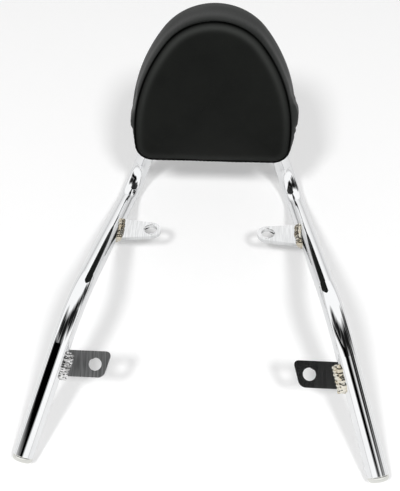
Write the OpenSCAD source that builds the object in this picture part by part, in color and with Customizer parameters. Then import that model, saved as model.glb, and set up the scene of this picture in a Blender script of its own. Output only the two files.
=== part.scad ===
// Backrest bar for a motorbike: one bent tube, four welded mounting tabs and a
// trimmed back pad. Millimetres. +Z is up, the legs run towards -Y and the pad
// is at the +Y end. The bar stands on its two leg tips and its two heel bends.

/* [Frame tube] */

// Outer diameter of the tube
tube_d = 22; // [19:0.1:26]
// Wall thickness of the tube
tube_wall = 2; // [1.2:0.1:3]
// Half the distance between the two heel corners
heel_x = 107.5; // [95:0.5:125]
// Centre-line radius of the heel bends
heel_bend_r = 40; // [34:1:60]
// Centre-line radius of the crest bends
crest_bend_r = 100; // [80:5:105]
// How much fuller the tube is in its bends than in its straight runs
bend_full = 0.1; // [0.06:0.01:0.15]
// Length that each straight run carries on into a bend
bend_lap = 1.2; // [0.8:0.1:1.5]
// Fall of the rear leg run from crest to heel, degrees
rear_fall = 19.4; // [14:0.1:24]
// Splay of the rear leg run seen from above, degrees
rear_splay = 6.6; // [3:0.1:10]
// Length of the rear leg run, crest corner to heel corner
rear_len = 291; // [260:1:320]
// Rise of the front leg run from tip to crest, degrees
front_rise = 30; // [24:0.5:34]
// Splay of the front leg run seen from above, degrees
front_splay = 17.6; // [10:0.1:22]

/* [Hoop] */

// Lean of the hoop from the vertical, degrees
hoop_lean = 13; // [8:0.5:18]
// Inward slope of each upright, degrees
hoop_taper = 20; // [16:0.5:22]
// Centre-line radius of the arch at the top of the hoop
arch_r = 45; // [38:1:50]

/* [Tip caps] */

// Thickness of the cap that closes each leg tip
cap_t = 2.5; // [1.5:0.1:4]
// Length of the spigot inside the tube
spigot_len = 6; // [3:0.5:10]
// Radial gap between spigot and bore
spigot_gap = 0.05; // [0.03:0.01:0.2]

/* [Front tabs] */

// Straight tube between the tab centre and the start of the crest bend
front_tab_before = 20.6; // [18:0.2:32]
// Distance of the hole from the tube's centre line, straight across
front_hole_out = 44; // [39:0.5:48]
// Width of the tab
front_tab_w = 28; // [25:0.5:31]
// Material left past the hole's centre
front_tab_end = 13.5; // [12.5:0.5:17]
// Corner radius of the tab
front_tab_corner = 6; // [3:0.5:8]

/* [Rear tabs] */

// Distance of the tab centre from the heel corner, along the leg
rear_tab_at = 122; // [110:1:135]
// Distance of the slot's centre from the middle plane
rear_slot_x = 72.5; // [70:0.5:76]
// Width of the tab at the tube
rear_tab_w = 33; // [29:0.5:36]
// Radius of the tab's round end
rear_end_r = 11.5; // [10.5:0.5:13]
// Length of the slot, end to end
rear_slot_len = 16.5; // [14.5:0.5:20]

/* [Plates and holes] */

// Thickness of all four tabs
tab_t = 5; // [4:0.5:6]
// Radius of the mounting holes and half the width of the slots
hole_r = 6.8; // [5.5:0.1:7]
// Radius of the weld beads
bead_r = 3.4; // [2.6:0.1:4]
// Spacing of the ripples in a bead, as a part of its radius
ripple = 0.75; // [0.6:0.05:1]

/* [Cross straps] */

// Thickness of the straps
strap_t = 4; // [3:0.5:5]
// Height of the straps
strap_h = 28; // [24:1:32]
// Distance of the strap's back from the hoop's centre plane
strap_back = 5; // [4:0.5:6]
// Height of the lower strap above the heel corner, along the hoop
low_strap_u = 104; // [102:1:108]
// Radius of the weld beads at the strap ends
strap_bead_r = 3; // [2.4:0.1:3.4]
// Height of the upper strap
high_strap_u = 160; // [150:1:168]
// Half the distance between the lower screws
low_screw_x = 40; // [32:1:44]
// Half the distance between the upper screws
high_screw_x = 22; // [16:1:24]

/* [Pad] */

// Half of the pad's greatest width
pad_half_w = 102.5; // [95:0.5:110]
// Height of the widest place above the heel corner
pad_wide_u = 116; // [108:1:124]
// Height of the pad's lower edge
pad_low_u = 72; // [68:1:76]
// Height of the pad's top
pad_top_u = 268; // [260:1:276]
// How far the pad's long side arcs exceed those of a pointed arch of its width and rise
pad_side_more = 36; // [30:1:46]
// Radius of the two lower corners
pad_corner_r = 26; // [18:1:32]
// Thickness of the cover
cover_t = 1.6; // [1.2:0.1:2.4]
// Width of the cover's turned-in lip on the back
lip_w = 22; // [16:1:28]
// Thickness of the base board
board_t = 8; // [6:0.5:10]
// Depth of foam at the edge of the pad
foam_edge = 35; // [28:1:40]
// Extra depth of foam at the middle
foam_crown = 11; // [6:1:14]

/* [Pad screws] */

// Radius of the screw shank
screw_r = 3; // [2.5:0.5:4]
// Radial gap around the shank in strap, spacer and washers
screw_gap = 0.3; // [0.2:0.05:0.5]
// Radial gap in the tee nut's thread
thread_gap = 0.05; // [0.03:0.01:0.1]
// Radius of the screw head
head_r = 5.25; // [4.5:0.25:7]
// Height of the screw head
head_h = 3.3; // [2.5:0.1:5]
// Width of the key socket in the head, across flats
key_w = 4; // [3:0.5:5]
// Radius of the washers
washer_r = 6.2; // [6:0.1:8]
// Thickness of the washers and of the spring washers
washer_t = 1.6; // [1:0.1:2]
// Radius of the spacers
spacer_r = 8; // [7:0.5:10]
// Length of the spacers
spacer_len = 5; // [4:0.5:8]
// Radius of the tee nut's flange
tee_flange_r = 9.5; // [8:0.5:11]
// Thickness of the tee nut's flange
tee_flange_t = 1.5; // [1:0.1:2]
// Wall of the tee nut's barrel
tee_wall = 0.9; // [0.7:0.1:1.5]

/* [Cover staples] */

// Number of staples on each side of the pad
staple_n = 13; // [8:1:18]
// Length of a staple's crown
staple_len = 10; // [6:1:12]
// Thickness of the staple wire
staple_t = 0.6; // [0.4:0.1:0.8]

/* [Hidden] */

$fn = 96;

tube_r = tube_d / 2;
bore_r = tube_r - tube_wall;

function unit(v) = v / norm(v);
function turn(a, b) = acos(unit(a) * unit(b));

// Directions of the right leg and upright, each along the tube from the tip.
front_dir = [
  -cos(front_rise) * sin(front_splay),
  cos(front_rise) * cos(front_splay),
  sin(front_rise)
];
rear_dir = [
  -cos(rear_fall) * sin(rear_splay),
  cos(rear_fall) * cos(rear_splay),
  -sin(rear_fall)
];
hoop_up = [0, sin(hoop_lean), cos(hoop_lean)];
hoop_out = [0, -cos(hoop_lean), sin(hoop_lean)];
upright_dir = -sin(hoop_taper) * [1, 0, 0] + cos(hoop_taper) * hoop_up;

// The heel bend's lowest point is one tube radius above the ground.
heel_turn = turn(rear_dir, upright_dir);
heel_in = unit(upright_dir - rear_dir);
heel_axis = unit(cross(rear_dir, upright_dir));
heel_reach = heel_bend_r / cos(heel_turn / 2);
heel_drop = heel_bend_r * sqrt(1 - pow(heel_axis[2], 2));
heel_z = tube_r + bend_full + heel_drop - heel_in[2] * heel_reach;
heel_set = heel_bend_r * tan(heel_turn / 2);

// The front run is as long as it takes for the cap to touch the ground.
heel_y = 0;
heel = [heel_x, heel_y, heel_z];
crest = heel - rear_dir * rear_len;
crest_set = crest_bend_r * tan(turn(front_dir, rear_dir) / 2);
tip_z = tube_r * sqrt(1 - pow(front_dir[2], 2));
front_len = (crest[2] - tip_z) / front_dir[2];
tip = crest - front_dir * front_len;
tube_end = tip + front_dir * cap_t;

// The arch closes the hoop between the two uprights.
arch_x = arch_r * cos(hoop_taper);
upright_len = (heel_x - arch_x) / sin(hoop_taper);
arch_u = upright_len * cos(hoop_taper) - arch_r * sin(hoop_taper);
upright_top = heel + upright_dir * upright_len;

// Middle of the object's length, which the origin is moved under.
front_y = tip[1] - tube_r * sqrt(1 - pow(front_dir[1], 2));
back_y = heel_y + (arch_u + arch_r) * sin(hoop_lean) + tube_r + bend_full;
mid_y = (front_y + back_y) / 2;

// Layers of the pad, measured forwards from the hoop's centre plane.
strap_front = strap_back + strap_t;
board_back = strap_front + spacer_len;
lip_back = board_back - cover_t + 0.2;
board_front = board_back + board_t;
edge_front = board_front + foam_edge;
crown_front = edge_front + foam_crown;
dome_reach = pad_half_w;
dome_r = (pow(dome_reach, 2) + pow(foam_crown, 2)) / (2 * foam_crown);
dome_u = (pad_low_u + pad_top_u) / 2;

// Pad outline: arcs that run into each other without a corner.
top_rise = pad_top_u - pad_wide_u;
pad_side_r = (pow(top_rise, 2) + pow(pad_half_w, 2)) / (2 * pad_half_w) + pad_side_more;
side_in = pad_side_r - pad_half_w;
pad_top_r = (pow(pad_side_r, 2) - pow(side_in, 2) - pow(top_rise, 2)) / (2 * (pad_side_r - top_rise));
top_mid_u = pad_top_u - pad_top_r;
corner_u = pad_low_u + pad_corner_r;
corner_x = sqrt(pow(pad_side_r - pad_corner_r, 2) - pow(corner_u - pad_wide_u, 2)) - side_in;
top_ang = atan2(top_mid_u - pad_wide_u, side_in);
corner_ang = atan2(corner_u - pad_wide_u, corner_x + side_in);

function arc(c, r, a0, a1, n, first) =
  [for (i = [first:n]) c + r * [cos(a0 + (a1 - a0) * i / n), sin(a0 + (a1 - a0) * i / n)]];

function half_outline(inset) = concat(
  arc([corner_x, corner_u], pad_corner_r - min(inset, pad_corner_r - 1), -90, corner_ang, 7, 0),
  arc([-side_in, pad_wide_u], pad_side_r - inset, corner_ang, top_ang, 10, 1),
  arc([0, top_mid_u], pad_top_r - inset, top_ang, 90, 6, 1)
);

function outline(inset) = let (
  h = half_outline(inset),
  k = len(h)
) concat(h, [for (i = [k - 2:-1:0]) [-h[i][0], h[i][1]]]);

screw_spots = [
  [-low_screw_x, low_strap_u], [low_screw_x, low_strap_u],
  [-high_screw_x, high_strap_u], [high_screw_x, high_strap_u]
];

steel = [0.82, 0.83, 0.85];
weld = [0.72, 0.68, 0.6];
zinc = [0.7, 0.71, 0.72];
vinyl = [0.06, 0.06, 0.065];

module put(o, x, y, z) {
  multmatrix([
    [x[0], y[0], z[0], o[0]],
    [x[1], y[1], z[1], o[1]],
    [x[2], y[2], z[2], o[2]],
    [0, 0, 0, 1]
  ]) children();
}

module place() {
  translate([0, -mid_y, 0]) children();
}

module on_left() {
  mirror([1, 0, 0]) children();
}

// Straight round bar of radius r from p to q, lengthened by more at each end.
module bar(p, q, r, more = 0) {
  d = unit(q - p);
  s = unit(cross(d, [1, 0, 0]));
  put(p - d * more, s, cross(d, s), d)
    cylinder(r = r, h = norm(q - p) + 2 * more);
}

// Round bend about corner p, from direction a into direction b. It is a hair
// fuller than the straight runs, which carry on into it.
module bend(p, a, b, bend_r, r) {
  ang = turn(a, b);
  axis = unit(cross(a, b));
  inward = cross(axis, a);
  start = p - a * bend_r * tan(ang / 2);
  put(start + inward * bend_r, -inward, a, axis)
    rotate_extrude(angle = ang)
      translate([bend_r, 0])
        circle(r = r + bend_full);
}

// One leg and upright as a solid bar of radius r.
module leg_run(r, more) {
  bar(tube_end - front_dir * more, crest - front_dir * (crest_set - bend_lap), r);
  bend(crest, front_dir, rear_dir, crest_bend_r, r);
  bar(crest + rear_dir * crest_set, heel - rear_dir * heel_set, r, bend_lap);
  bend(heel, rear_dir, upright_dir, heel_bend_r, r);
  bar(heel + upright_dir * heel_set, upright_top, r, bend_lap);
}

module arch_run(r) {
  in_hoop()
    translate([0, arch_u, 0])
      rotate([0, 0, hoop_taper])
        rotate_extrude(angle = 180 - 2 * hoop_taper)
          translate([arch_r, 0])
            circle(r = r + bend_full);
}

module hoop_run(r, more) {
  leg_run(r, more);
  on_left() leg_run(r, more);
  arch_run(r);
}

// Hoop plane: x across, y up along the hoop, z forwards out of it.
module in_hoop() {
  put([0, heel_y, heel_z], [1, 0, 0], hoop_up, hoop_out) children();
}

module upright_bars(r) {
  bar(heel, upright_top, r);
  on_left() bar(heel, upright_top, r);
}

// Front tab's own plane on the right leg: x straight inwards, y up the slope.
front_spot = crest - front_dir * (crest_set + front_tab_before);
front_up = unit([0, front_dir[1], front_dir[2]]);
front_slant = -front_dir[0] / norm([front_dir[1], front_dir[2]]);

module in_front_tab() {
  put(front_spot, [-1, 0, 0], front_up, cross([-1, 0, 0], front_up)) children();
}

// The tab's free side and its root both run along the leg. A corner's circle is
// a hair larger than the corner it rounds, so that it crosses the straight edges.
corner_more = 0.005;

function front_corner(s) = let (
  y = s * (front_tab_w / 2 - front_tab_corner),
  end_x = front_hole_out + front_tab_end
) [end_x + front_slant * y - front_tab_corner * sqrt(1 + pow(front_slant, 2)), y];

module front_blank() {
  root_x = tube_r / 2;
  half_w = front_tab_w / 2;
  out = front_tab_corner * unit([1, -front_slant]);
  difference() {
    union() {
      polygon([
        [root_x - front_slant * half_w, -half_w],
        [front_corner(-1)[0], -half_w],
        front_corner(-1) + out,
        front_corner(1) + out,
        [front_corner(1)[0], half_w],
        [root_x + front_slant * half_w, half_w]
      ]);
      for (s = [-1, 1])
        translate(front_corner(s))
          circle(r = front_tab_corner + corner_more);
    }
    translate([front_hole_out, 0])
      circle(r = hole_r);
  }
}

module front_tab() {
  difference() {
    in_front_tab()
      linear_extrude(height = tab_t, center = true)
        front_blank();
    bar(tip, crest, tube_r);
  }
}

// Rippled weld bead along y: a row of drops that run into each other.
module bead(len, r) {
  run = len - 2 * r;
  drops = ceil(run / (ripple * r));
  for (i = [0:drops])
    translate([0, run * (i / drops - 0.5), 0])
      sphere(r = r, $fn = 40);
}

module front_weld() {
  bead_x = sqrt(pow(tube_r, 2) - pow(tab_t / 2, 2)) + 0.5;
  slant = atan(front_slant);
  difference() {
    in_front_tab()
      difference() {
        rotate([0, 0, -slant])
          for (s = [-1, 1])
            translate([bead_x, 0, s * (tab_t / 2 + 0.5)])
              bead(front_tab_w / cos(slant) - 1, bead_r);
        translate([0, -front_tab_w, -tab_t / 2])
          cube([2 * front_hole_out, 2 * front_tab_w, tab_t]);
      }
    bar(tip, crest, tube_r);
  }
}

// Rear tab's plane on the right leg is level: x inwards, y backwards.
rear_spot = heel - rear_dir * rear_tab_at;
rear_flat = unit([rear_dir[0], rear_dir[1], 0]);

module rear_blank() {
  slot_half = rear_slot_len / 2 - hole_r;
  end = [rear_slot_x - slot_half, 0];
  root = [rear_spot[0] - tube_r / 2, rear_tab_w / 2];
  touch_ang = atan2(root[1], root[0] - end[0]) + acos(rear_end_r / norm(root - end));
  touch = end + rear_end_r * [cos(touch_ang), sin(touch_ang)];
  difference() {
    union() {
      polygon([[root[0], -root[1]], root, touch, [touch[0], -touch[1]]]);
      translate(end)
        circle(r = rear_end_r + corner_more);
    }
    for (s = [-1, 1])
      translate([rear_slot_x + s * slot_half, 0])
        circle(r = hole_r);
    translate([rear_slot_x - slot_half, -hole_r])
      square([2 * slot_half, 2 * hole_r]);
  }
}

module rear_tab() {
  difference() {
    translate([0, rear_spot[1], rear_spot[2] - tab_t / 2])
      linear_extrude(height = tab_t)
        rear_blank();
    bar(crest, heel, tube_r);
  }
}

module rear_weld() {
  bead_in = sqrt(pow(tube_r, 2) - pow(tab_t / 2, 2)) + 0.6;
  side = [-rear_flat[1], rear_flat[0], 0];
  difference() {
    put(rear_spot, side, -rear_flat, [0, 0, -1] * (side[0] < 0 ? -1 : 1))
      for (s = [-1, 1])
        translate([bead_in, 0, s * (tab_t / 2 + 0.7)])
          bead(rear_tab_w - 2, bead_r);
    translate([0, rear_spot[1] - rear_tab_w, rear_spot[2] - tab_t / 2])
      cube([rear_spot[0], 2 * rear_tab_w, tab_t]);
    bar(crest, heel, tube_r);
  }
}

// Straps lie between the uprights and are shaped to them at the ends.
function upright_x(u) = heel_x - u * tan(hoop_taper);

module strap(u, screw_x) {
  difference() {
    in_hoop()
      difference() {
        translate([-upright_x(u), u - strap_h / 2, strap_back])
          cube([2 * upright_x(u), strap_h, strap_t]);
        for (s = [-1, 1])
          translate([s * screw_x, u, 0])
            cylinder(r = screw_r + screw_gap, h = 2 * strap_front);
      }
    upright_bars(tube_r);
  }
}

module strap_welds(u) {
  bead_in = sqrt(pow(tube_r, 2) - pow(strap_back, 2)) + 0.4;
  difference() {
    in_hoop()
      for (s = [-1, 1])
        translate([s * upright_x(u), u, 0])
          rotate([0, 0, s * hoop_taper])
            translate([-s * bead_in, 0, strap_back - 0.5])
              bead(strap_h - 6, strap_bead_r);
    in_hoop()
      translate([-upright_x(u), u - strap_h, strap_back])
        cube([2 * upright_x(u), 2 * strap_h, 4 * strap_t]);
    upright_bars(tube_r);
  }
}

module at_screws(n) {
  in_hoop()
    for (p = screw_spots)
      translate([p[0], p[1], n])
        children();
}

module ring(r_out, r_in, h) {
  difference() {
    cylinder(r = r_out, h = h);
    translate([0, 0, -1])
      cylinder(r = r_in, h = h + 2);
  }
}

module pad_slab(inset, n0, n1) {
  translate([0, 0, n0])
    linear_extrude(height = n1 - n0)
      polygon(outline(inset));
}

module dome(less) {
  translate([0, dome_u, crown_front - dome_r])
    sphere(r = dome_r - less, $fn = 240);
}

tee_r = screw_r + thread_gap + tee_wall;
washer_back = strap_back - washer_t;
spring_back = washer_back - washer_t;
tee_barrel = board_t - 1.5;
screw_end = board_front + tee_flange_t + 1.5;

module frame_tube() {
  color(steel)
    place()
      difference() {
        hoop_run(tube_r, 0);
        hoop_run(bore_r, 1);
      }
}

module tip_cap() {
  bar(tip, tube_end, tube_r);
  bar(tip + front_dir * cap_t / 2, tube_end + front_dir * spigot_len, bore_r - spigot_gap);
}

module tip_cap_right() {
  color(steel) place() tip_cap();
}

module tip_cap_left() {
  color(steel) place() on_left() tip_cap();
}

module front_tab_right() {
  color(steel) place() front_tab();
}

module front_tab_left() {
  color(steel) place() on_left() front_tab();
}

module rear_tab_right() {
  color(steel) place() rear_tab();
}

module rear_tab_left() {
  color(steel) place() on_left() rear_tab();
}

module front_weld_right() {
  color(weld) place() front_weld();
}

module front_weld_left() {
  color(weld) place() on_left() front_weld();
}

module rear_weld_right() {
  color(weld) place() rear_weld();
}

module rear_weld_left() {
  color(weld) place() on_left() rear_weld();
}

module lower_strap() {
  color(steel) place() strap(low_strap_u, low_screw_x);
}

module upper_strap() {
  color(steel) place() strap(high_strap_u, high_screw_x);
}

module lower_strap_welds() {
  color(weld) place() strap_welds(low_strap_u);
}

module upper_strap_welds() {
  color(weld) place() strap_welds(high_strap_u);
}

module strap_spacers() {
  color(zinc)
    place()
      at_screws(strap_front)
        ring(spacer_r, screw_r + screw_gap, spacer_len);
}

module pad_screws() {
  color(zinc)
    place()
      at_screws(0)
        difference() {
          union() {
            translate([0, 0, spring_back - head_h])
              cylinder(r = head_r, h = head_h);
            translate([0, 0, spring_back - head_h / 2])
              cylinder(r = screw_r, h = screw_end - spring_back + head_h / 2);
          }
          translate([0, 0, spring_back - head_h - 1])
            cylinder(r = key_w / sqrt(3), h = 1 + 0.6 * head_h, $fn = 6);
        }
}

module screw_washers() {
  color(zinc)
    place()
      at_screws(washer_back)
        ring(washer_r, screw_r + screw_gap, washer_t);
}

// Split ring: one narrow cut through the washer.
module spring_washers() {
  color(zinc)
    place()
      at_screws(spring_back)
        difference() {
          ring(head_r, screw_r + screw_gap, washer_t);
          rotate([0, 0, 90])
            translate([0, -0.5, -1])
              cube([2 * head_r, 1, washer_t + 2]);
        }
}

module tee_nuts() {
  color(zinc)
    place()
      at_screws(0)
        difference() {
          union() {
            translate([0, 0, board_front - tee_barrel])
              cylinder(r = tee_r, h = tee_barrel + tee_flange_t);
            translate([0, 0, board_front])
              cylinder(r = tee_flange_r, h = tee_flange_t);
          }
          translate([0, 0, board_back])
            cylinder(r = screw_r + thread_gap, h = 2 * board_t);
        }
}

module pad_base() {
  color([0.16, 0.13, 0.11])
    place()
      difference() {
        in_hoop() pad_slab(cover_t, board_back, board_front);
        at_screws(board_back - 1)
          cylinder(r = screw_r + screw_gap, h = board_t + 2);
        at_screws(board_front - tee_barrel)
          cylinder(r = tee_r, h = board_t);
      }
}

module pad_foam() {
  color([0.75, 0.7, 0.5])
    place()
      difference() {
        in_hoop()
          intersection() {
            pad_slab(cover_t, board_front, crown_front + 5);
            dome(cover_t);
          }
        at_screws(board_front - 1)
          cylinder(r = tee_flange_r + screw_gap, h = 1 + tee_flange_t);
        at_screws(board_front)
          cylinder(r = screw_r + 2 * screw_gap, h = screw_end - board_front + 1);
      }
}

module cover_face() {
  color(vinyl)
    place()
      in_hoop()
        difference() {
          intersection() {
            pad_slab(0, board_front, crown_front + 5);
            dome(0);
          }
          dome(cover_t);
        }
}

// Side band with the lip that is turned in over the back of the board.
module cover_band() {
  color(vinyl)
    place()
      in_hoop()
        difference() {
          intersection() {
            pad_slab(0, lip_back, crown_front + 5);
            dome(cover_t);
          }
          pad_slab(cover_t, board_back, crown_front + 10);
          pad_slab(lip_w, lip_back - 1, board_back + 1);
        }
}

staple_path = half_outline(lip_w / 2);
staple_all = outline(lip_w / 2);

function path_len(p, i) = i == 0 ? 0 : path_len(p, i - 1) + norm(p[i] - p[i - 1]);

function path_at(p, d, i) =
  i >= len(p) - 1 || path_len(p, i) >= d
    ? let (a = p[i - 1], b = p[i], k = (d - path_len(p, i - 1)) / norm(b - a)) [a + k * (b - a), b - a]
    : path_at(p, d, i + 1);

module cover_staples() {
  total = path_len(staple_path, len(staple_path) - 1);
  color(zinc)
    place()
      in_hoop()
        for (i = [0:staple_n - 1], s = [-1, 1]) {
          q = path_at(staple_path, total * (i + 0.5) / staple_n, 1);
          translate([s * q[0][0], q[0][1], lip_back - staple_t])
            rotate([0, 0, s * atan2(q[1][1], s * s * q[1][0])])
              translate([-staple_len / 2, -0.6, 0])
                cube([staple_len, 1.2, staple_t]);
        }
}

frame_tube();
tip_cap_left();
tip_cap_right();
front_tab_left();
front_tab_right();
rear_tab_left();
rear_tab_right();
front_weld_left();
front_weld_right();
rear_weld_left();
rear_weld_right();
lower_strap();
upper_strap();
lower_strap_welds();
upper_strap_welds();
strap_spacers();
pad_screws();
screw_washers();
spring_washers();
tee_nuts();
pad_base();
pad_foam();
cover_face();
cover_band();
cover_staples();
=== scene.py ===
from math import acos, atan2, cos, hypot, pi, radians, sin, sqrt

import bmesh
import bpy
import numpy as np
from mathutils import Matrix, Vector, noise


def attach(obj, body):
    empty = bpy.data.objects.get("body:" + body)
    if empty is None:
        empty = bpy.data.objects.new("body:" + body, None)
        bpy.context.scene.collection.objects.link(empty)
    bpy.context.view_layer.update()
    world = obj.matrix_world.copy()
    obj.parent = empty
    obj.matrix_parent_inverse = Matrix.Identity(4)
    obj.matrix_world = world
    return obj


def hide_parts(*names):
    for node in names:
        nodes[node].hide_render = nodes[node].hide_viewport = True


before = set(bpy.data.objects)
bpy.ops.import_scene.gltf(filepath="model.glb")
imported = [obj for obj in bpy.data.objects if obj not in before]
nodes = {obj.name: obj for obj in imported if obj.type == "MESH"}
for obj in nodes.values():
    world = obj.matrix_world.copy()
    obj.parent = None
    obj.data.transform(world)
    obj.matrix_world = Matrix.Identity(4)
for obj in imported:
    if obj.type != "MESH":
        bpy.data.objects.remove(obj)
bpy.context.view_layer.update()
mm = 0.001
# One seed for the jogs in the welds, so that each run draws the same.
noise.seed_set(3)
print("frame loaded:", len(nodes), "nodes")

# Camera at the photo's angle: place in metres, turns in degrees, focal length and frame width in
# pixels, sensor in millimetres.
cameraSet = {
    "place": (0.0220, -0.6625, 0.8522),
    "down": 47.92,
    "yaw": -7.15,
    "roll": -3.36,
    "focalPixels": 881.5,
    "frameWidth": 400,
    "shift": (0.1175, -0.034),
    "sensor": 36.0,
    "clip": (0.01, 50),
}


def addCamera(c):
    down, yaw, roll = radians(c["down"]), radians(c["yaw"]), radians(c["roll"])
    ahead = Vector((sin(yaw) * cos(down), cos(yaw) * cos(down), -sin(down)))
    right = Vector((cos(yaw), -sin(yaw), 0))
    up = right.cross(ahead)
    sideways = right * cos(roll) + up * sin(roll)
    upwards = up * cos(roll) - right * sin(roll)
    data = bpy.data.cameras.new("photoCamera")
    data.sensor_fit = "HORIZONTAL"
    data.sensor_width = c["sensor"]
    data.lens = c["focalPixels"] / c["frameWidth"] * c["sensor"]
    data.shift_x, data.shift_y = c["shift"]
    data.clip_start, data.clip_end = c["clip"]
    camera = bpy.data.objects.new("photoCamera", data)
    turn = Matrix((sideways, upwards, -ahead)).transposed().to_4x4()
    camera.matrix_world = Matrix.Translation(c["place"]) @ turn
    bpy.context.scene.collection.objects.link(camera)
    bpy.context.scene.camera = camera


addCamera(cameraSet)
bpy.context.scene.view_settings.view_transform = "Standard"
print("camera placed")


class Sheet:
    # A short way to lay out the nodes of a material or of the sky.
    def __init__(self, tree):
        self.tree = tree

    def add(self, kind, values=None, **settings):
        item = self.tree.nodes.new(kind)
        for key, value in settings.items():
            setattr(item, key, value)
        for key, value in (values or {}).items():
            if isinstance(value, bpy.types.NodeSocket):
                self.tree.links.new(value, item.inputs[key])
            else:
                item.inputs[key].default_value = value
        return item

    def link(self, a, b):
        self.tree.links.new(a, b)

    def math(self, how, a, b=0.0, clamp=False):
        return self.add("ShaderNodeMath", {0: a, 1: b}, operation=how, use_clamp=clamp).outputs[0]

    def coords(self, scale=(1, 1, 1), turn=(0, 0, 0)):
        source = self.add("ShaderNodeTexCoord").outputs["Object"]
        values = {"Vector": source, "Scale": scale, "Rotation": turn}
        return self.add("ShaderNodeMapping", values).outputs[0]

    def noise(self, where, scale, detail=3.0, rough=0.5):
        values = {"Vector": where, "Scale": scale, "Detail": detail, "Roughness": rough}
        return self.add("ShaderNodeTexNoise", values).outputs[0]

    def spread(self, value, low, high, outLow, outHigh):
        values = {0: value, 1: low, 2: high, 3: outLow, 4: outHigh}
        return self.add("ShaderNodeMapRange", values).outputs[0]

    def ramp(self, value, stops):
        item = self.add("ShaderNodeValToRGB", {0: value})
        marks = item.color_ramp.elements
        while len(marks) < len(stops):
            marks.new(0.5)
        for mark, (place, colour) in zip(marks, stops):
            mark.position = place
            mark.color = (*colour, 1)
        return item.outputs[0]

    def mix(self, factor, a, b, how="MIX"):
        item = self.add("ShaderNodeMix", {0: factor}, data_type="RGBA", blend_type=how)
        for socket, value in ((item.inputs[6], a), (item.inputs[7], b)):
            if isinstance(value, bpy.types.NodeSocket):
                self.link(value, socket)
            else:
                socket.default_value = (*value, 1)
        return item.outputs[2]

    def bump(self, height, strength, distance, before=None):
        values = {"Height": height, "Strength": strength, "Distance": distance}
        if before is not None:
            values["Normal"] = before
        return self.add("ShaderNodeBump", values).outputs[0]


def finish(name, **fixed):
    material = bpy.data.materials.new(name)
    material.use_nodes = True
    sheet = Sheet(material.node_tree)
    shader = material.node_tree.nodes["Principled BSDF"]
    for key, value in fixed.items():
        shader.inputs[key.replace("_", " ")].default_value = value
    return material, sheet, shader


def platedFinish(p):
    # Plated metal: soft hazy patches, fine polishing marks and a slow waviness.
    material, s, shader = finish(p["name"], Metallic=1.0)
    where = s.coords()
    haze = s.noise(where, p["hazeScale"], 4.0, 0.6)
    colour = s.ramp(haze, [(0.3, p["low"]), (0.7, p["high"])])
    if "lean" in p:
        # The plate's flat sags a little towards the viewer; its rounded edges don't.
        facing = s.add("ShaderNodeNewGeometry").outputs["True Normal"]
        upward = s.add("ShaderNodeSeparateXYZ", {0: facing}).outputs[2]
        flat = s.math("GREATER_THAN", upward, p["flatFrom"])
        depth = s.add("ShaderNodeSeparateXYZ", {0: where}).outputs[1]
        slope = s.bump(s.math("MULTIPLY", depth, p["lean"]), flat, 1.0)
    else:
        slope = None
    if "tint" in p:
        spots = s.noise(where, p["tintScale"], 3.0, 0.6)
        amount = s.spread(spots, 0.42, 0.62, 0.0, p["tintAmount"])
        colour = s.mix(amount, colour, p["tint"])
    marks = s.noise(s.coords(p["markStretch"]), p["markScale"], 2.0)
    if "streak" in p:
        worn = s.spread(marks, 0.35, 0.65, *p["streak"])
        grey = s.add("ShaderNodeCombineXYZ", {0: worn, 1: worn, 2: worn}).outputs[0]
        colour = s.mix(1.0, colour, grey, "MULTIPLY")
    s.link(colour, shader.inputs["Base Color"])
    s.link(s.spread(haze, 0.25, 0.75, *p["rough"]), shader.inputs["Roughness"])
    normal = s.bump(marks, p["markStrength"], p["markDepth"], slope)
    waves = s.noise(where, p["waveScale"], 1.0)
    s.link(s.bump(waves, 0.5, p["waveDepth"], normal), shader.inputs["Normal"])
    return material


# Scales count noise cells in a metre; depths of marks and waves are in metres.
chrome = {
    "name": "frameChrome",
    "hazeScale": 9.0,
    "low": (0.86, 0.87, 0.88),
    "high": (0.93, 0.935, 0.94),
    "rough": (0.02, 0.05),
    "markStretch": (1, 1, 1),
    "markScale": 900.0,
    "markStrength": 0.02,
    "markDepth": 0.00005,
    "waveScale": 14.0,
    "waveDepth": 0.0002,
}
tabPlate = dict(
    chrome,
    name="tabChrome",
    low=(0.7, 0.71, 0.72),
    high=(0.88, 0.885, 0.89),
    rough=(0.1, 0.17),
    markStretch=(6, 0.4, 0.4),
    markScale=110.0,
    markStrength=0.3,
    markDepth=0.00006,
    streak=(0.62, 1.08),
)
rearTabPlate = dict(
    tabPlate,
    name="rearTabChrome",
    low=(0.74, 0.75, 0.755),
    high=(0.86, 0.865, 0.87),
    rough=(0.04, 0.09),
    streak=(0.9, 1.03),
    lean=0.15,
    flatFrom=0.995,
)
strapPlate = dict(
    tabPlate,
    name="strapChrome",
    high=(0.84, 0.85, 0.86),
    rough=(0.05, 0.12),
    streak=(0.93, 1.02),
)
capPlate = dict(chrome, name="capChrome", low=(0.72, 0.72, 0.68), high=(0.88, 0.88, 0.86))
weldPlate = dict(
    chrome,
    name="weldBead",
    low=(0.62, 0.58, 0.5),
    high=(0.88, 0.85, 0.76),
    rough=(0.1, 0.26),
    tint=(0.5, 0.39, 0.22),
    tintScale=110.0,
    tintAmount=0.6,
    waveScale=420.0,
    waveDepth=0.0004,
)
silverWeld = dict(
    weldPlate,
    name="weldSilver",
    low=(0.7, 0.7, 0.7),
    high=(0.9, 0.9, 0.9),
    tint=(0.1, 0.095, 0.09),
)
zincPlate = dict(
    chrome,
    name="zinc",
    hazeScale=120.0,
    low=(0.52, 0.54, 0.57),
    high=(0.74, 0.75, 0.76),
    rough=(0.25, 0.42),
    markScale=1500.0,
    markStrength=0.2,
    tint=(0.6, 0.58, 0.48),
    tintScale=40.0,
    tintAmount=0.35,
)
screwPlate = dict(zincPlate, name="screwZinc", low=(0.4, 0.41, 0.43), high=(0.6, 0.61, 0.62))


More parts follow.
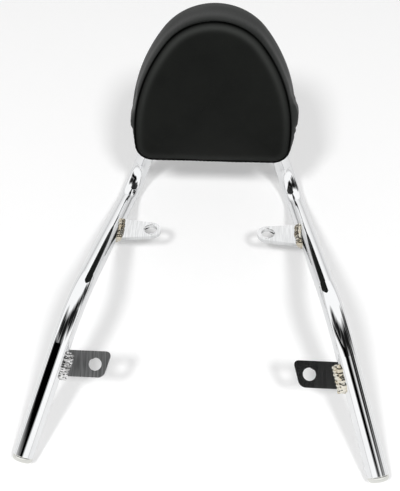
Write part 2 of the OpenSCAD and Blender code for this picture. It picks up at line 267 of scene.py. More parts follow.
plywood = {
    "low": (0.045, 0.03, 0.018),
    "high": (0.13, 0.085, 0.05),
    "ply": (0.2, 0.15, 0.1),
    "grainStretch": (1, 9, 9),
    "grainScale": 55.0,
    "plyStretch": (0.02, 1, 0.02),
    "plyScale": 700.0,
    "rough": (0.55, 0.8),
    "grainDepth": 0.0004,
}


def boardFinish(b):
    # Dark stained plywood: thin plies across the thickness, long grain on the face.
    material, s, shader = finish("baseBoard")
    lean = (-hoop["lean"], 0, 0)
    grain = s.noise(s.coords(b["grainStretch"], lean), b["grainScale"], 6.0, 0.6)
    plies = s.noise(s.coords(b["plyStretch"], lean), b["plyScale"], 1.0)
    face = s.ramp(grain, [(0.3, b["low"]), (0.7, b["high"])])
    colour = s.mix(s.spread(plies, 0.4, 0.6, 0, 0.5), face, b["ply"])
    s.link(colour, shader.inputs["Base Color"])
    s.link(s.spread(grain, 0.3, 0.7, *b["rough"]), shader.inputs["Roughness"])
    s.link(s.bump(grain, 0.4, b["grainDepth"]), shader.inputs["Normal"])
    return material


seatFoam = {
    "low": (0.72, 0.64, 0.4),
    "high": (0.84, 0.77, 0.55),
    "toneScale": 22.0,
    "cellScale": 700.0,
    "cellDepth": 0.0006,
}


def foamFinish(f):
    # Moulded seat foam: small open cells and a slow change of tone.
    material, s, shader = finish("padFoam", Roughness=0.95)
    where = s.coords()
    cells = s.add("ShaderNodeTexVoronoi", {"Vector": where, "Scale": f["cellScale"]}).outputs[0]
    tone = s.noise(where, f["toneScale"], 3.0)
    s.link(s.ramp(tone, [(0.3, f["low"]), (0.7, f["high"])]), shader.inputs["Base Color"])
    s.link(s.bump(cells, 0.7, f["cellDepth"]), shader.inputs["Normal"])
    return material


vinyl = {
    "name": "coverVinyl",
    "low": (0.0028, 0.0034, 0.0028),
    "high": (0.006, 0.0068, 0.0058),
    "rough": (0.42, 0.56),
    "specular": 0.12,
    # colour added as a painted highlight on the rolled rim
    "paintedHighlight": 0.026,
    "seam": (0.0008, 0.0009, 0.0008),
    "grainScale": 620.0,
    "grainDepth": 0.00018,
    "rubScale": 16.0,
    "waveScale": 34.0,
    "waveDepth": 0.0012,
}
# The band is the face's vinyl with lighter colours, which are painted light: the sheen and light that
# the band catches from the bright backdrop above and behind. It also gets its own faint painted
# highlight on the rolled rim.
bandVinyl = dict(
    vinyl,
    name="bandVinyl",
    low=(0.009, 0.01, 0.0094),
    high=(0.017, 0.0184, 0.0172),
    specular=0.3,
    paintedHighlight=0.004,
)


def vinylFinish(v):
    # Satin vinyl with a pebbled grain and rubbed patches, dark in the seam, and a painted highlight
    # that lightens the rolled rim.
    material, s, shader = finish(v["name"])
    where = s.coords()
    grain = {"Vector": where, "Scale": v["grainScale"]}
    pebbles = s.add("ShaderNodeTexVoronoi", grain, feature="SMOOTH_F1").outputs[0]
    pores = s.noise(where, v["grainScale"] * 1.8, 3.0, 0.6)
    rubbed = s.noise(where, v["rubScale"], 4.0, 0.6)
    colour = s.ramp(rubbed, [(0.3, v["low"]), (0.7, v["high"])])
    # Painted highlight: colour added on the rolled rim beside the seam, stronger higher up the pad.
    paintedHighlight = s.add("ShaderNodeAttribute", attribute_name="rimHighlight").outputs["Fac"]
    colour = s.mix(paintedHighlight, colour, (v["paintedHighlight"], v["paintedHighlight"] * 1.04, v["paintedHighlight"]), "ADD")
    deep = s.add("ShaderNodeAttribute", attribute_name="stitched").outputs["Fac"]
    s.link(s.mix(deep, colour, v["seam"]), shader.inputs["Base Color"])
    s.link(s.spread(deep, 0.0, 1.0, v["specular"], 0.0), shader.inputs["Specular IOR Level"])
    shine = s.math("ADD", rubbed, s.math("MULTIPLY", pebbles, 0.35))
    s.link(s.spread(shine, 0.3, 0.9, *v["rough"]), shader.inputs["Roughness"])
    normal = s.bump(pebbles, 0.35, v["grainDepth"])
    normal = s.bump(pores, 0.2, v["grainDepth"] / 2, normal)
    waves = s.noise(where, v["waveScale"], 2.0)
    s.link(s.bump(waves, 0.3, v["waveDepth"], normal), shader.inputs["Normal"])
    return material


# The hoop's own plane, in millimetres: x across, y up along the hoop, z forwards out of it. It starts
# between the two corners of the heel bends.
hoop = {"lean": radians(13), "heelY": 181.708, "heelZ": -0.75056}
hoopUp = Vector((0, sin(hoop["lean"]), cos(hoop["lean"])))
hoopOut = Vector((0, -cos(hoop["lean"]), sin(hoop["lean"])))
hoopTurn = Matrix((Vector((1, 0, 0)), hoopUp, hoopOut)).transposed().to_4x4()
hoopFoot = Matrix.Translation((0, hoop["heelY"] * mm, hoop["heelZ"] * mm))
hoopPlace = hoopFoot @ hoopTurn @ Matrix.Scale(mm, 4)

# Finish of each node, by its name or by its name without the side.
nodeFinish = {
    "frame_tube": platedFinish(chrome),
    "tip_cap": platedFinish(capPlate),
    "front_tab": platedFinish(tabPlate),
    "strap_spacers": platedFinish(dict(zincPlate, name="spacerZinc")),
    "pad_screws": platedFinish(screwPlate),
    "screw_washers": platedFinish(dict(zincPlate, name="washerZinc")),
    "tee_nuts": platedFinish(dict(zincPlate, name="teeZinc")),
    "cover_staples": platedFinish(dict(zincPlate, name="stapleWire", rough=(0.3, 0.45))),
    "front_weld": platedFinish(weldPlate),
    "lower_strap": platedFinish(strapPlate),
    "pad_base": boardFinish(plywood),
    "pad_foam": foamFinish(seatFoam),
    "cover_face": vinylFinish(vinyl),
    "cover_band": vinylFinish(bandVinyl),
    "rear_tab": platedFinish(rearTabPlate),
    "front_tab_left": platedFinish(dict(tabPlate, name="dullTabChrome", rough=(0.24, 0.34))),
    "silver_weld": platedFinish(silverWeld),
}
sameFinish = {
    "rear_weld": "front_weld",
    "lower_strap_welds": "front_weld",
    "upper_strap_welds": "front_weld",
    "upper_strap": "lower_strap",
    "spring_washers": "screw_washers",
}
for key, like in sameFinish.items():
    nodeFinish[key] = nodeFinish[like]


def dress(node, item):
    key = node if node in nodeFinish else node.rsplit("_", 1)[0]
    item.data.materials.clear()
    item.data.materials.append(nodeFinish[key])


for node, item in nodes.items():
    dress(node, item)
print("CAD nodes dressed")

# Pad, in millimetres on the hoop's plane. Its outline is arcs that run into each other.
pad = {
    "halfWidth": 102.5,
    "wideU": 116.0,
    "lowU": 72.0,
    "topU": 268.0,
    "sideR": 200.0,
    "cornerR": 26.0,
    "lowSteps": 8,
    "cornerSteps": 7,
    "sideSteps": 18,
    "topSteps": 13,
    "wallBack": 16.0,
    "wallFront": 22.0,
    # inset and height of each ring from the wall round to the hem on the back
    "backRings": [
        (0.0, 14.6),
        (0.5, 13.3),
        (1.8, 12.65),
        (6, 12.6),
        (12, 12.55),
        (18, 12.6),
        (21.4, 12.6),
        (21.9, 13.0),
        (22.1, 14.6),
        (24, 15.4),
    ],
    # and from the wall over the band, the seam, its rim and the face
    "bandRings": [(0.4, 27), (1.2, 33), (1.8, 39), (2.0, 45), (2.5, 50), (4.0, 54), (5.6, 56.4)],
    "seamRings": [(6.3, 55.6), (7.0, 55.3)],
    "faceRings": [(7.8, 56.4), (9.6, 57.7), (12.5, 58.9), (17, 60.1), (23, 61.0)],
    # size beside the last ring and height of the rings that fill the face, drawn in to its middle
    "faceScales": [
        (0.86, 61.7),
        (0.72, 62.3),
        (0.58, 62.7),
        (0.44, 62.9),
        (0.3, 63.0),
        (0.17, 63.0),
        (0.07, 63.0),
    ],
    "faceMiddle": 166.0,
    # slots of the two vinyls
    "onFace": 0,
    "onBand": 1,
    # points of the band and the face lie above bandFrom and faceFrom
    "bandFrom": 40.0,
    "faceFrom": 54.0,
    # the cover is held below holdFrom, loose holdFade above it, and held near the seam
    "holdFrom": 26.0,
    "holdFade": 8.0,
    "seamHold": 2.6,
    "swell": 5.0,
    "quickSwell": 0.75,
    "pressure": 4.0,
    "clothQuality": 6,
    "frames": 20,
    "relaxFrom": 7.0,
    "relaxFade": 6.0,
    "relaxTimes": 150,
}


def padArcs(p):
    # Centre, angle and steps of the corner, side and top arcs on the right half.
    sideIn = p["sideR"] - p["halfWidth"]
    rise = p["topU"] - p["wideU"]
    topR = (p["sideR"] ** 2 - sideIn**2 - rise**2) / (2 * (p["sideR"] - rise))
    topMid = p["topU"] - topR
    cornerU = p["lowU"] + p["cornerR"]
    cornerX = sqrt((p["sideR"] - p["cornerR"]) ** 2 - (cornerU - p["wideU"]) ** 2) - sideIn
    topAngle = atan2(topMid - p["wideU"], sideIn)
    cornerAngle = atan2(cornerU - p["wideU"], cornerX + sideIn)
    return cornerX, [
        ((cornerX, cornerU), cornerAngle + pi / 2, p["cornerSteps"]),
        ((-sideIn, p["wideU"]), topAngle - cornerAngle, p["sideSteps"]),
        ((0, topMid), pi / 2 - topAngle, p["topSteps"]),
    ]


def padBlank(p):
    # The pad's wall: half the outline, its mirror image, and the two flat ends.
    bm = bmesh.new()
    cornerX, arcs = padArcs(p)
    z = p["wallBack"]
    tail = bm.verts.new((0, p["lowU"], z))
    for _ in range(p["lowSteps"]):
        made = bmesh.ops.extrude_vert_indiv(bm, verts=[tail])
        tail = made["verts"][0]
        bmesh.ops.translate(bm, verts=[tail], vec=(cornerX / p["lowSteps"], 0, 0))
    geom = [tail]
    for (cx, cu), angle, steps in arcs:
        made = bmesh.ops.spin(
            bm,
            geom=geom,
            cent=(cx, cu, z),
            axis=(0, 0, 1),
            dvec=(0, 0, 0),
            angle=angle,
            steps=steps,
            use_merge=False,
        )
        geom = made["geom_last"]
    bmesh.ops.remove_doubles(bm, verts=bm.verts[:], dist=0.01)
    half = bm.verts[:] + bm.edges[:]
    bmesh.ops.mirror(bm, geom=half, matrix=Matrix.Identity(4), merge_dist=0.02, axis="X")
    bmesh.ops.remove_doubles(bm, verts=bm.verts[:], dist=0.02)
    bmesh.ops.contextual_create(bm, geom=bm.edges[:])
    made = bmesh.ops.extrude_face_region(bm, geom=bm.faces[:], use_keep_orig=True)
    up = [v for v in made["geom"] if isinstance(v, bmesh.types.BMVert)]
    bmesh.ops.translate(bm, verts=up, vec=(0, 0, p["wallFront"] - z))
    bmesh.ops.recalc_face_normals(bm, faces=bm.faces[:])
    return bm


def ringStep(bm, face, inset, rise, material):
    # One more ring inside the face, and the face moved on by the rise.
    made = bmesh.ops.inset_region(
        bm,
        faces=[face],
        thickness=max(inset, 0.001),
        depth=rise,
        use_even_offset=True,
        use_boundary=True,
    )
    for f in made["faces"]:
        f.material_index = material


def ringRun(bm, face, rings, start, sign, material):
    inset, height = start
    for nextInset, nextHeight in rings:
        ringStep(bm, face, nextInset - inset, (nextHeight - height) * sign, material)
        inset, height = nextInset, nextHeight
    return inset, height


def padMesh(p):
    bm = padBlank(p)
    ends = [f for f in bm.faces if abs(f.normal.z) > 0.9]
    back, front = sorted(ends, key=lambda f: f.calc_center_median().z)
    for f in bm.faces:
        f.material_index = p["onBand"]
    ringRun(bm, back, p["backRings"], (0, p["wallBack"]), -1, p["onBand"])
    at = ringRun(bm, front, p["bandRings"], (0, p["wallFront"]), 1, p["onBand"])
    at = ringRun(bm, front, p["seamRings"], at, 1, p["onBand"])
    height = ringRun(bm, front, p["faceRings"], at, 1, p["onFace"])[1]
    middle = Vector((0, p["faceMiddle"], 0))
    size = 1.0
    for scale, nextHeight in p["faceScales"]:
        ringStep(bm, front, 0.001, nextHeight - height, p["onFace"])
        factor = scale / size
        shrink = Matrix.Diagonal((factor, factor, 1, 1))
        move = Matrix.Translation(middle) @ shrink @ Matrix.Translation(-middle)
        bmesh.ops.transform(bm, matrix=move, verts=front.verts[:])
        size, height = scale, nextHeight
    front.material_index = p["onFace"]
    bmesh.ops.recalc_face_normals(bm, faces=bm.faces[:])
    return bm


def meshObject(name, bm, place=None):
    mesh = bpy.data.meshes.new(name)
    bm.to_mesh(mesh)
    bm.free()
    if place is not None:
        mesh.transform(place)
    item = bpy.data.objects.new(name, mesh)
    bpy.context.scene.collection.objects.link(item)
    return item


def bake(item):
    # Applies the piece's modifiers to its mesh.
    graph = bpy.context.evaluated_depsgraph_get()
    graph.update()
    mesh = bpy.data.meshes.new_from_object(item.evaluated_get(graph), depsgraph=graph)
    item.modifiers.clear()
    old = item.data
    item.data = mesh
    bpy.data.meshes.remove(old)


def points(mesh):
    co = np.zeros(len(mesh.vertices) * 3)
    mesh.vertices.foreach_get("co", co)
    return co.reshape(-1, 3)


def setPoints(mesh, co):
    mesh.vertices.foreach_set("co", co.ravel())
    mesh.update()


def normals(mesh):
    out = np.zeros(len(mesh.vertices) * 3)
    mesh.vertices.foreach_get("normal", out)
    return out.reshape(-1, 3)


def smoothly(item):
    item.data.polygons.foreach_set("use_smooth", [True] * len(item.data.polygons))


def toHoop(co):
    # Points in the shared frame, in metres, as points on the hoop's plane, in millimetres.
    back = np.array(hoopPlace.inverted())
    return co @ back[:3, :3].T + back[:3, 3]


def heldShare(local, seam, p):
    # 1 where the cover is held: the wall by the board, the hem and the seam.
    low = np.clip((p["holdFrom"] - local[:, 2]) / p["holdFade"], 0, 1)
    return np.maximum(low, np.exp(-((seamDistance(local, seam, p) / p["seamHold"]) ** 2)))


def swellCover(item, p, seam):
    # The cover is blown up as cloth, and each point's move is eased under the largest swell.
    rest = points(item.data)
    share = heldShare(toHoop(rest), seam, p)
    held = item.vertex_groups.new(name="held")
    for i, w in enumerate(share):
        if w > 0.02:
            held.add([i], float(w), "REPLACE")
    cloth = item.modifiers.new("swell", "CLOTH")
    cloth.settings.quality = p["clothQuality"]
    cloth.settings.use_pressure = True
    cloth.settings.uniform_pressure_force = p["pressure"]
    cloth.settings.vertex_group_mass = "held"
    cloth.settings.effector_weights.gravity = 0
    cloth.collision_settings.use_collision = False
    cloth.point_cache.frame_end = p["frames"]
    scene = bpy.context.scene
    for f in range(1, p["frames"] + 1):
        scene.frame_set(f)
    graph = bpy.context.evaluated_depsgraph_get()
    blown = points(item.evaluated_get(graph).to_mesh())
    item.modifiers.clear()
    scene.frame_set(1)
    move = blown - rest
    length = np.linalg.norm(move, axis=1) + 1e-12
    cap = p["swell"] * mm
    print("cover swelled, largest move before the cap (mm):", round(length.max() / mm, 1))
    move *= (np.tanh(length / cap) * cap / length * (1 - share))[:, None]
    setPoints(item.data, rest + move)


def seamLine(mesh, p):
    # Points of the seam valley, from the ring that was built for it.
    local = toHoop(points(mesh))
    z = p["seamRings"][1][1]
    ring = local[np.abs(local[:, 2] - z) < 0.05]
    middle = ring.mean(0)
    order = np.argsort(np.arctan2(ring[:, 1] - middle[1], ring[:, 0] - middle[0]))
    ring = ring[order]
    dense = [ring + (np.roll(ring, -1, 0) - ring) * t for t in (0, 0.25, 0.5, 0.75)]
    return np.concatenate(dense)


def seamDistance(local, seam, p):
    # Distance to the seam across the pad, taken in parts; points behind the band are far from it.
    best = np.zeros(len(local))
    part, far = 4000, 50
    for start in range(0, len(local), part):
        some = local[start : start + part]
        gaps = np.linalg.norm(some[:, None, :2] - seam[None, :, :2], axis=2).min(1)
        best[start : start + part] = gaps + np.where(some[:, 2] > p["bandFrom"], 0, far)
    return best


# Wrinkles in millimetres: how far the cover's points move along their normals.
wrinkles = {
    # side, height up the pad, how far out, how tall
    "bulges": [
        (-1, 126, 2.2, 12),
        (-1, 96, -3.6, 20),
        (1, 140, 5.0, 23),
        (1, 88, -1.4, 14),
        (-1, 158, -1.6, 10),
        (1, 166, -1.2, 9),
    ],
    # side, height up the pad, how deep, how tall
    "folds": [
        (-1, 114, 1.3, 3.0),
        (-1, 143, 0.9, 3.5),
        (1, 112, 1.0, 3.0),
        (1, 121, 1.4, 2.6),
        (1, 154, 1.0, 3.5),
    ],
    "foldSlant": 0.35,
    # where the band's bulges and folds fade in and out, by height off the hoop and by side
    "bandIn": (24, 8),
    "bandOut": (56, 6),
    "sideIn": (50, 30),
    "crown": 3.0,
    "crownHalf": 86.0,
    "crownTall": 88.0,
    "crownAt": 164.0,
    "slack": 0.5,
    "slackSize": 28.0,
    "middleU": 165.0,
    "outline": 590.0,
    "pucker": 0.28,
    "puckerLength": 5.2,
    "puckerAt": 2.2,
    "puckerWidth": 2.0,
    "hemBelow": 13.2,
    "hemIn": (40, 30),
    "hemPleats": 0.45,
    "hemCount": 64,
    "seamWidth": 1.5,
    "rimAt": 6.0,
    "rimWidth": 3.6,
    # how the rim's painted highlight grows stronger up the pad
    "rimLow": 0.3,
    "rimIn": (110, 140),
}


def hill(value, middle, width):
    return np.exp(-(((value - middle) / width) ** 2))


def fade(value, start, length):
    return np.clip((value - start) / length, 0, 1)


def wrinkleCover(item, p, w, seam):
    mesh = item.data
    co = points(mesh)
    facing = normals(mesh)
    local = toHoop(co)
    x, u, n = local.T
    outStart, outLength = w["bandOut"]
    band = fade(n, *w["bandIn"]) * np.clip((outStart - n) / outLength, 0, 1)
    move = np.zeros(len(co))
    for side, atU, height, width in w["bulges"]:
        move += height * hill(u, atU, width) * band * fade(x * side, *w["sideIn"])
    for side, atU, depth, width in w["folds"]:
        slant = (n - p["bandFrom"]) * w["foldSlant"]
        move -= depth * hill(u - slant, atU, width) * band * fade(x * side, *w["sideIn"])
    slack = np.array([noise.noise(Vector(q) / w["slackSize"]) for q in local])
    move += slack * w["slack"] * fade(n, *w["bandIn"])
    dome = 1 - (x / w["crownHalf"]) ** 2 - ((u - w["crownAt"]) / w["crownTall"]) ** 2
    move += w["crown"] * np.clip(dome, 0, 1) * (n > p["faceFrom"])
    near = seamDistance(local, seam, p)
    angle = np.arctan2(u - w["middleU"], x)
    pucker = (1 + np.sin(angle * w["outline"] / w["puckerLength"])) / 2
    move -= w["pucker"] * pucker * hill(near, w["puckerAt"], w["puckerWidth"])
    hem = (n < w["hemBelow"]) * fade(np.hypot(x, u - w["middleU"]), *w["hemIn"])
    pleats = np.maximum(0, np.sin(angle * w["hemCount"] + 2 * slack))
    flat = np.abs(facing @ np.array(hoopOut)) > 0.7
    move += hem * w["hemPleats"] * pleats * flat
    setPoints(mesh, co + facing * move[:, None] * mm)
    # How deep in the seam, for the vinyl's finish, and where the painted highlight lightens the rolled
    # rim beside it.
    stitched = hill(near, 0, w["seamWidth"])
    height = w["rimLow"] + (1 - w["rimLow"]) * fade(u, *w["rimIn"])
    rimHighlight = hill(near, w["rimAt"], w["rimWidth"]) * height
    for name, values in (("stitched", stitched), ("rimHighlight", rimHighlight)):
        layer = mesh.attributes.new(name, "FLOAT", "POINT")
        layer.data.foreach_set("value", values.astype(np.float32))


def relaxFace(item, p, seam):
    # The face is one smooth panel: what the rings left in it is ironed out inside its rolled rim.
    local = toHoop(points(item.data))
    inside = fade(seamDistance(local, seam, p), p["relaxFrom"], p["relaxFade"])
    inside = inside * (local[:, 2] > p["faceFrom"])
    group = item.vertex_groups.new(name="panel")
    for i in np.nonzero(inside)[0]:
        group.add([int(i)], float(inside[i]), "REPLACE")
    iron = item.modifiers.new("iron", "SMOOTH")
    iron.factor = 0.5
    iron.iterations = p["relaxTimes"]
    iron.vertex_group = "panel"
    bake(item)


def makePadCover(p):
    cover = meshObject("padCover", padMesh(p), hoopPlace)
    cover.data.materials.append(nodeFinish["cover_face"])
    cover.data.materials.append(nodeFinish["cover_band"])
    seam = seamLine(cover.data, p)
    print("seam points:", len(seam))
    swellCover(cover, p, seam)
    smooth = cover.modifiers.new("round", "SUBSURF")
    smooth.levels = 2
    smooth.render_levels = 2
    bake(cover)
    relaxFace(cover, p, seam)
    wrinkleCover(cover, p, wrinkles, seam)
    smoothly(cover)
    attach(cover, "root")
    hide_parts("cover_face", "cover_band", "pad_foam")
    print("pad cover made:", len(cover.data.polygons), "faces")


makePadCover(pad)


# Tab plates, welds and leg caps are drawn for the right leg, in millimetres, and mirrored for the left.
def planeAt(spot, along, off):
    # A plate's own plane: x away from the tube, y along the plate's root, z off the plate.
    turn = Matrix((Vector((-1, 0, 0)), Vector(along), Vector(off))).transposed().to_4x4()
    return Matrix.Translation(Vector(spot) * mm) @ turn @ Matrix.Scale(mm, 4)


frontTab = {
    "plane": planeAt((156.792, -146.889, 62.026), (0, 0.855333, 0.518078), (0, -0.518078, 0.855333)),
    "slant": 0.2714,
    "half": 14.0,
    "near": 9.0,
    "far": 57.5,
    "corner": 6.2,
    "holeAt": (44.0, 44.0),
    "hole": 6.8,
    "thick": 5.0,
    "edge": 0.9,
    "edgeFrom": 13.0,
    "cornerSteps": 6,
    "holeSteps": 40,
}
rearTab = {
    "plane": planeAt((120.726, 67.397, 39.773), (0, 1, 0), (0, 0, 1)),
    "half": 16.5,
    "near": 5.5,
    "endAt": 49.676,
    "endR": 11.5,
    "holeAt": (46.776, 49.676),
    "hole": 6.8,
    "thick": 5.0,
    "edge": 2.3,
    "edgeFrom": 9.5,
    "endSteps": 48,
    "endSlack": 0.4,
    "holeSteps": 40,
}


def pieceName(node, ending):
    return node.replace("_", " ").title().replace(" ", "") + ending


def wire(bm, corners):
    made = [bm.verts.new(c) for c in corners]
    for a, b in zip(made, made[1:]):
        bm.edges.new((a, b))
    return made


def frontOutline(bm, t):
    # A slanted plate with two rounded corners at its free end.
    corners = [(t["near"], -1), (t["far"], -1), (t["far"], 1), (t["near"], 1)]
    made = wire(bm, [(x + t["slant"] * t["half"] * y, t["half"] * y, 0) for x, y in corners])
    bm.edges.new((made[-1], made[0]))
    bmesh.ops.contextual_create(bm, geom=made)
    bmesh.ops.bevel(
        bm,
        geom=made[1:3],
        offset=t["corner"],
        segments=t["cornerSteps"],
        profile=0.5,
        affect="VERTICES",
        material=-1,
    )
    bmesh.ops.delete(bm, geom=bm.faces[:], context="FACES_ONLY")


def rearOutline(bm, t):
    # A round end with two straight sides that leave it where they touch and widen to the tube.
    ring = bmesh.ops.create_circle(bm, segments=t["endSteps"], radius=t["endR"])["verts"]
    reach = t["endAt"] - t["near"]
    lean = atan2(t["half"], reach)
    touch = pi - lean - acos(t["endR"] / hypot(reach, t["half"]))
    touchX = t["endR"] * cos(touch) - t["endSlack"]
    bmesh.ops.delete(bm, geom=[v for v in ring if v.co.x < touchX], context="VERTS")
    ring = bm.verts[:]
    ends = sorted([v for v in ring if len(v.link_edges) == 1], key=lambda v: v.co.y)
    bmesh.ops.translate(bm, verts=ring, vec=(t["endAt"], 0, 0))
    root = wire(bm, [(t["near"], -t["half"], 0), (t["near"], t["half"], 0)])
    bm.edges.new((root[0], ends[0]))
    bm.edges.new((root[1], ends[1]))


def mirrored(bm, right):
    if not right:
        bmesh.ops.scale(bm, vec=(-1, 1, 1), verts=bm.verts[:])
    bmesh.ops.recalc_face_normals(bm, faces=bm.faces[:])


def makeTab(node, t, outline, right):
    # The outline is bridged to the hole, given its thickness and rounded along its free edges.
    bm = bmesh.new()
    outline(bm, t)
    ring = bmesh.ops.create_circle(bm, segments=t["holeSteps"], radius=t["hole"])["verts"]
    for v in ring:
        v.co.x += t["holeAt"][1] if v.co.x > 0.01 else t["holeAt"][0]
    bmesh.ops.bridge_loops(bm, edges=bm.edges[:])
    bmesh.ops.translate(bm, verts=bm.verts[:], vec=(0, 0, -t["thick"] / 2))
    made = bmesh.ops.extrude_face_region(bm, geom=bm.faces[:], use_keep_orig=True)
    up = [v for v in made["geom"] if isinstance(v, bmesh.types.BMVert)]
    bmesh.ops.translate(bm, verts=up, vec=(0, 0, t["thick"]))
    bmesh.ops.recalc_face_normals(bm, faces=bm.faces[:])
    bmesh.ops.dissolve_limit(bm, angle_limit=radians(0.5), verts=bm.verts[:], edges=bm.edges[:])
    sharp = [e for e in bm.edges if e.is_manifold and e.calc_face_angle() > radians(60)]
    sharp = [e for e in sharp if min(v.co.x for v in e.verts) > t["edgeFrom"]]
    bmesh.ops.bevel(
        bm,
        geom=sharp,
        offset=t["edge"],
        segments=4,
        profile=0.5,
        affect="EDGES",
        clamp_overlap=True,
        material=-1,
    )
    bmesh.ops.transform(bm, matrix=t["plane"], verts=bm.verts[:])
    mirrored(bm, right)
    tab = meshObject(pieceName(node, "Plate"), bm)
    dress(node, tab)
    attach(tab, "root")
    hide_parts(node)


for side in ("left", "right"):
    makeTab("front_tab_" + side, frontTab, frontOutline, side == "right")
    makeTab("rear_tab_" + side, rearTab, rearOutline, side == "right")
print("tab plates made")

# A weld is rows of drops along the tube, melted into one another. The near tabs lie along the tube;
# past the far tabs the tube falls by tubeDrop in each millimetre, and tubeLevel is that fall's cosine.
frontBead = {
    "plane": frontTab["plane"],
    "slant": frontTab["slant"],
    "length": 27.5,
    "tubeR": 11.0,
    "tubeDrop": 0.0,
    "tubeLevel": 1.0,
    # out from the tube, off the plate, drop size, spacing
    "rows": [
        (0.9, 3.4, 3.7, 2.7),
        (3.8, 3.0, 2.9, 3.2),
        (6.2, 2.7, 1.9, 3.9),
        (0.7, -3.1, 3.3, 2.9),
    ],
    "wobble": 0.75,
    "swellShare": 0.5,
    # the drop that closes each end of the weld: out from the tube's middle, size, in from the end
    "endOut": 11.8,
    "endSize": 3.1,
    "endIn": 1.0,
    "voxel": 0.45,
}
rearBead = dict(
    frontBead,
    plane=rearTab["plane"],
    slant=0.1157,
    length=31.0,
    tubeDrop=0.352,
    tubeLevel=0.943,
    rows=[(0.8, 3.3, 3.4, 2.7), (3.2, 2.8, 2.4, 3.3), (0.7, -3.2, 3.3, 2.9)],
)


def addDrop(bm, place, radius):
    bmesh.ops.create_icosphere(bm, subdivisions=3, radius=radius, matrix=Matrix.Translation(place))


def makeWeld(node, b, look, right, seed):
    bm = bmesh.new()
    lean = atan2(b["slant"], 1)
    for r, (out, off, size, gap) in enumerate(b["rows"]):
        count = int(b["length"] / gap)
        for i in range(count + 1):
            along = (i / count - 0.5) * (b["length"] - size)
            chance = Vector((seed * 7.3 + r * 3.1, i * 1.37, 0.5))
            jog = noise.noise_vector(chance) * b["wobble"]
            height = (off + b["tubeDrop"] * along) * b["tubeLevel"]
            x = sqrt(b["tubeR"] ** 2 - height**2) + out + jog.x
            y = along * cos(lean) - x * sin(lean) + jog.y
            place = (x * cos(lean) + along * sin(lean), y, off + jog.z * b["swellShare"])
            addDrop(bm, place, size * (1 + b["swellShare"] * jog.z))
    for end in (-1, 1):
        x, along = b["endOut"], end * (b["length"] / 2 - b["endIn"])
        place = (x * cos(lean) + along * sin(lean), along * cos(lean) - x * sin(lean), 0)
        addDrop(bm, place, b["endSize"])
    bmesh.ops.transform(bm, matrix=b["plane"], verts=bm.verts[:])
    mirrored(bm, right)
    weld = meshObject(pieceName(node, "Ripple"), bm)
    melt = weld.modifiers.new("melt", "REMESH")
    melt.mode = "VOXEL"
    melt.voxel_size = b["voxel"] * mm
    melt.use_smooth_shade = True
    bake(weld)
    weld.data.materials.clear()
    weld.data.materials.append(look)
    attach(weld, "root")
    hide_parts(node)


# The left near weld is bare plate; the others keep a warm tint.
gold, silver = nodeFinish["front_weld"], nodeFinish["silver_weld"]
makeWeld("front_weld_left", frontBead, silver, False, 1)
makeWeld("front_weld_right", frontBead, gold, True, 2)
makeWeld("rear_weld_left", rearBead, gold, False, 3)
makeWeld("rear_weld_right", rearBead, gold, True, 4)
print("welds made")

legCap = {
    "axis": (-0.261855, 0.825486, 0.5),
    "seat": (183.6334, -231.5013, 10.77628),
    "radius": 11.0,
    "reach": 6.0,
    "round": 4.8,
    "roundSteps": 9,
    "crown": 0.8,
    # the end's rings: share of the crown's rise at each, and how far in each lies
    "crownShares": (0.45, 0.3, 0.17, 0.08),
    "crownInset": 1.4,
}


def makeCap(node, c, right):
    # A plug with a rounded rim and a slightly crowned end.
    bm = bmesh.new()
    bmesh.ops.create_circle(bm, cap_ends=True, segments=72, radius=c["radius"])
    face = bm.faces[:][0]
    made = bmesh.ops.extrude_face_region(bm, geom=[face], use_keep_orig=True)
    top = [f for f in made["geom"] if isinstance(f, bmesh.types.BMFace)][0]
    bmesh.ops.translate(bm, verts=top.verts[:], vec=(0, 0, -c["reach"]))
    rim = top.edges[:]
    bmesh.ops.recalc_face_normals(bm, faces=bm.faces[:])
    bmesh.ops.bevel(
        bm,
        geom=rim,
        offset=c["round"],
        segments=c["roundSteps"],
        profile=0.5,
        affect="EDGES",
        material=-1,
    )
    top = min(bm.faces, key=lambda f: f.calc_center_median().z)
    for share in c["crownShares"]:
        bmesh.ops.inset_region(
            bm,
            faces=[top],
            thickness=c["crownInset"],
            depth=c["crown"] * share,
            use_even_offset=True,
            use_boundary=True,
        )
    away = Vector(c["axis"]).normalized()
    turn = away.to_track_quat("Z", "Y").to_matrix().to_4x4()
    place = Matrix.Translation(Vector(c["seat"]) * mm) @ turn @ Matrix.Scale(mm, 4)
    bmesh.ops.transform(bm, matrix=place, verts=bm.verts[:])
    mirrored(bm, right)
    cap = meshObject(pieceName(node, "Plug"), bm)
    smoothly(cap)
    dress(node, cap)
    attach(cap, "root")
    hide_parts(node)


makeCap("tip_cap_left", legCap, False)
makeCap("tip_cap_right", legCap, True)
print("leg caps made")

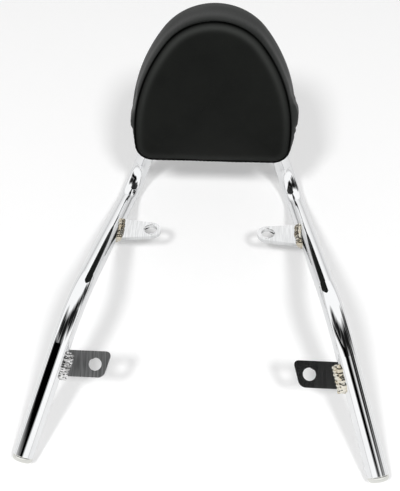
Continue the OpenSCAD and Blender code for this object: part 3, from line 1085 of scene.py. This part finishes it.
# Floor, sky and lamps, in metres, watts and degrees.
studio = {
    "floorSize": 6.0,
    "floorDrop": 0.0002,
    "floorColour": 0.86,
    "floorMottle": 0.01,
    "floorLift": 0.17,
    "mirroredLift": 0.1,
    "skyForShade": 0.38,
    "skySeen": 1.05,
    "horizonTop": 0.2,
    "horizonShade": 0.6,
    # place, size and power
    "lamps": [
        ((-1.24, -2.24, 3.5), 0.75, 73.0),
        ((1.2, -2.28, 3.5), 0.75, 73.0),
    ],
    "lampAim": (0, 0, 0.05),
    # Azimuth, elevation, radius, depth and edge of the dark flags that only mirrors see. The first rows
    # are the long arch in the front legs, the others the dark area overhead and to both sides.
    "flags": [
        (-88, 24, 6, 0.9, 5),
        (-92, 30, 6.5, 1.0, 3),
        (-97, 35, 7, 1.0, 3),
        (-103, 40, 7, 1.0, 3),
        (-109, 44, 7, 1.0, 3),
        (-116, 48, 7, 1.0, 3),
        (-123, 51, 7, 1.0, 3),
        (-131, 54, 7, 1.0, 3),
        (-140, 56, 8, 1.0, 3),
        (-150, 57, 9, 1.0, 3),
        (-162, 58, 10, 1.0, 3),
        (-175, 58, 9, 1.0, 3),
        (170, 58, 8, 1.0, 3),
        (155, 57, 7, 0.8, 5),
        (180, 77, 22, 0.99, 6),
        (-78, 47, 15, 0.97, 6),
        (-96, 62, 15, 0.99, 6),
        (95, 64, 15, 0.99, 6),
        (80, 49, 16, 0.99, 6),
        (103, 45, 13, 0.99, 6),
        (88, 30, 12, 0.98, 6),
        (68, 30, 12, 0.98, 6),
        (62, 12, 10, 0.98, 6),
        (56, 4, 9, 0.96, 4),
        (55, 22, 9, 0.96, 4),
    ],
}


def addFloor(p):
    bm = bmesh.new()
    bmesh.ops.create_grid(bm, x_segments=1, y_segments=1, size=p["floorSize"])
    floor = meshObject("floor", bm, Matrix.Translation((0, 0, -p["floorDrop"])))
    material, s, shader = finish("floorPaper", Roughness=0.9)
    fibres = s.noise(s.coords(), 400.0, 3.0)
    low, high = p["floorColour"] - p["floorMottle"], p["floorColour"] + p["floorMottle"]
    shade = s.ramp(fibres, [(0.3, (low,) * 3), (0.7, (high,) * 3)])
    s.link(shade, shader.inputs["Base Color"])
    rays = s.add("ShaderNodeLightPath").outputs
    mirrors = s.math("MAXIMUM", rays["Is Glossy Ray"], rays["Is Transmission Ray"])
    seen = s.math("MAXIMUM", rays["Is Camera Ray"], s.math("MULTIPLY", mirrors, p["mirroredLift"]))
    shader.inputs["Emission Color"].default_value = (1, 1, 1, 1)
    s.link(s.math("MULTIPLY", seen, p["floorLift"]), shader.inputs["Emission Strength"])
    floor.data.materials.append(material)


def addSky(p):
    world = bpy.data.worlds.new("studioSky")
    bpy.context.scene.world = world
    world.use_nodes = True
    tree = world.node_tree
    tree.nodes.clear()
    s = Sheet(tree)
    way = s.add("ShaderNodeTexCoord").outputs["Generated"]
    way = s.add("ShaderNodeVectorMath", {0: way}, operation="NORMALIZE").outputs[0]
    dark = None
    for azimuth, elevation, radius, depth, soft in p["flags"]:
        a, e, r, edge = radians(azimuth), radians(elevation), radians(radius), radians(soft)
        centre = (sin(a) * cos(e), cos(a) * cos(e), sin(e))
        near = s.add("ShaderNodeVectorMath", {0: way, 1: centre}, operation="DOT_PRODUCT")
        cover = s.spread(near.outputs["Value"], cos(r + edge), cos(r - edge), 0.0, depth)
        dark = cover if dark is None else s.math("MAXIMUM", dark, cover)
    height = s.add("ShaderNodeSeparateXYZ", {0: way}).outputs[2]
    horizon = s.spread(height, 0.0, p["horizonTop"], p["horizonShade"], 1.0)
    white = s.math("MULTIPLY", horizon, p["skySeen"])
    pattern = s.math("MULTIPLY", white, s.math("SUBTRACT", 1.0, dark))
    rays = s.add("ShaderNodeLightPath").outputs
    mirrors = s.math("MAXIMUM", rays["Is Glossy Ray"], rays["Is Transmission Ray"])
    strength = s.add("ShaderNodeMix", {0: mirrors, 2: p["skyForShade"], 3: pattern}).outputs[0]
    strength = s.add("ShaderNodeMix", {0: rays["Is Camera Ray"], 2: strength, 3: 1.0}).outputs[0]
    background = s.add("ShaderNodeBackground", {"Color": (1, 1, 1, 1), "Strength": strength})
    out = s.add("ShaderNodeOutputWorld")
    s.link(background.outputs[0], out.inputs["Surface"])


def addLamps(p):
    for i, (place, size, power) in enumerate(p["lamps"]):
        data = bpy.data.lights.new(f"softLamp{i}", "AREA")
        data.shape = "DISK"
        data.size = size
        data.energy = power
        lamp = bpy.data.objects.new(f"softLamp{i}", data)
        lamp.visible_glossy = False
        aim = Vector(p["lampAim"]) - Vector(place)
        turn = aim.to_track_quat("-Z", "Y").to_matrix().to_4x4()
        lamp.matrix_world = Matrix.Translation(place) @ turn
        bpy.context.scene.collection.objects.link(lamp)


addFloor(studio)
addSky(studio)
addLamps(studio)
print("studio set")
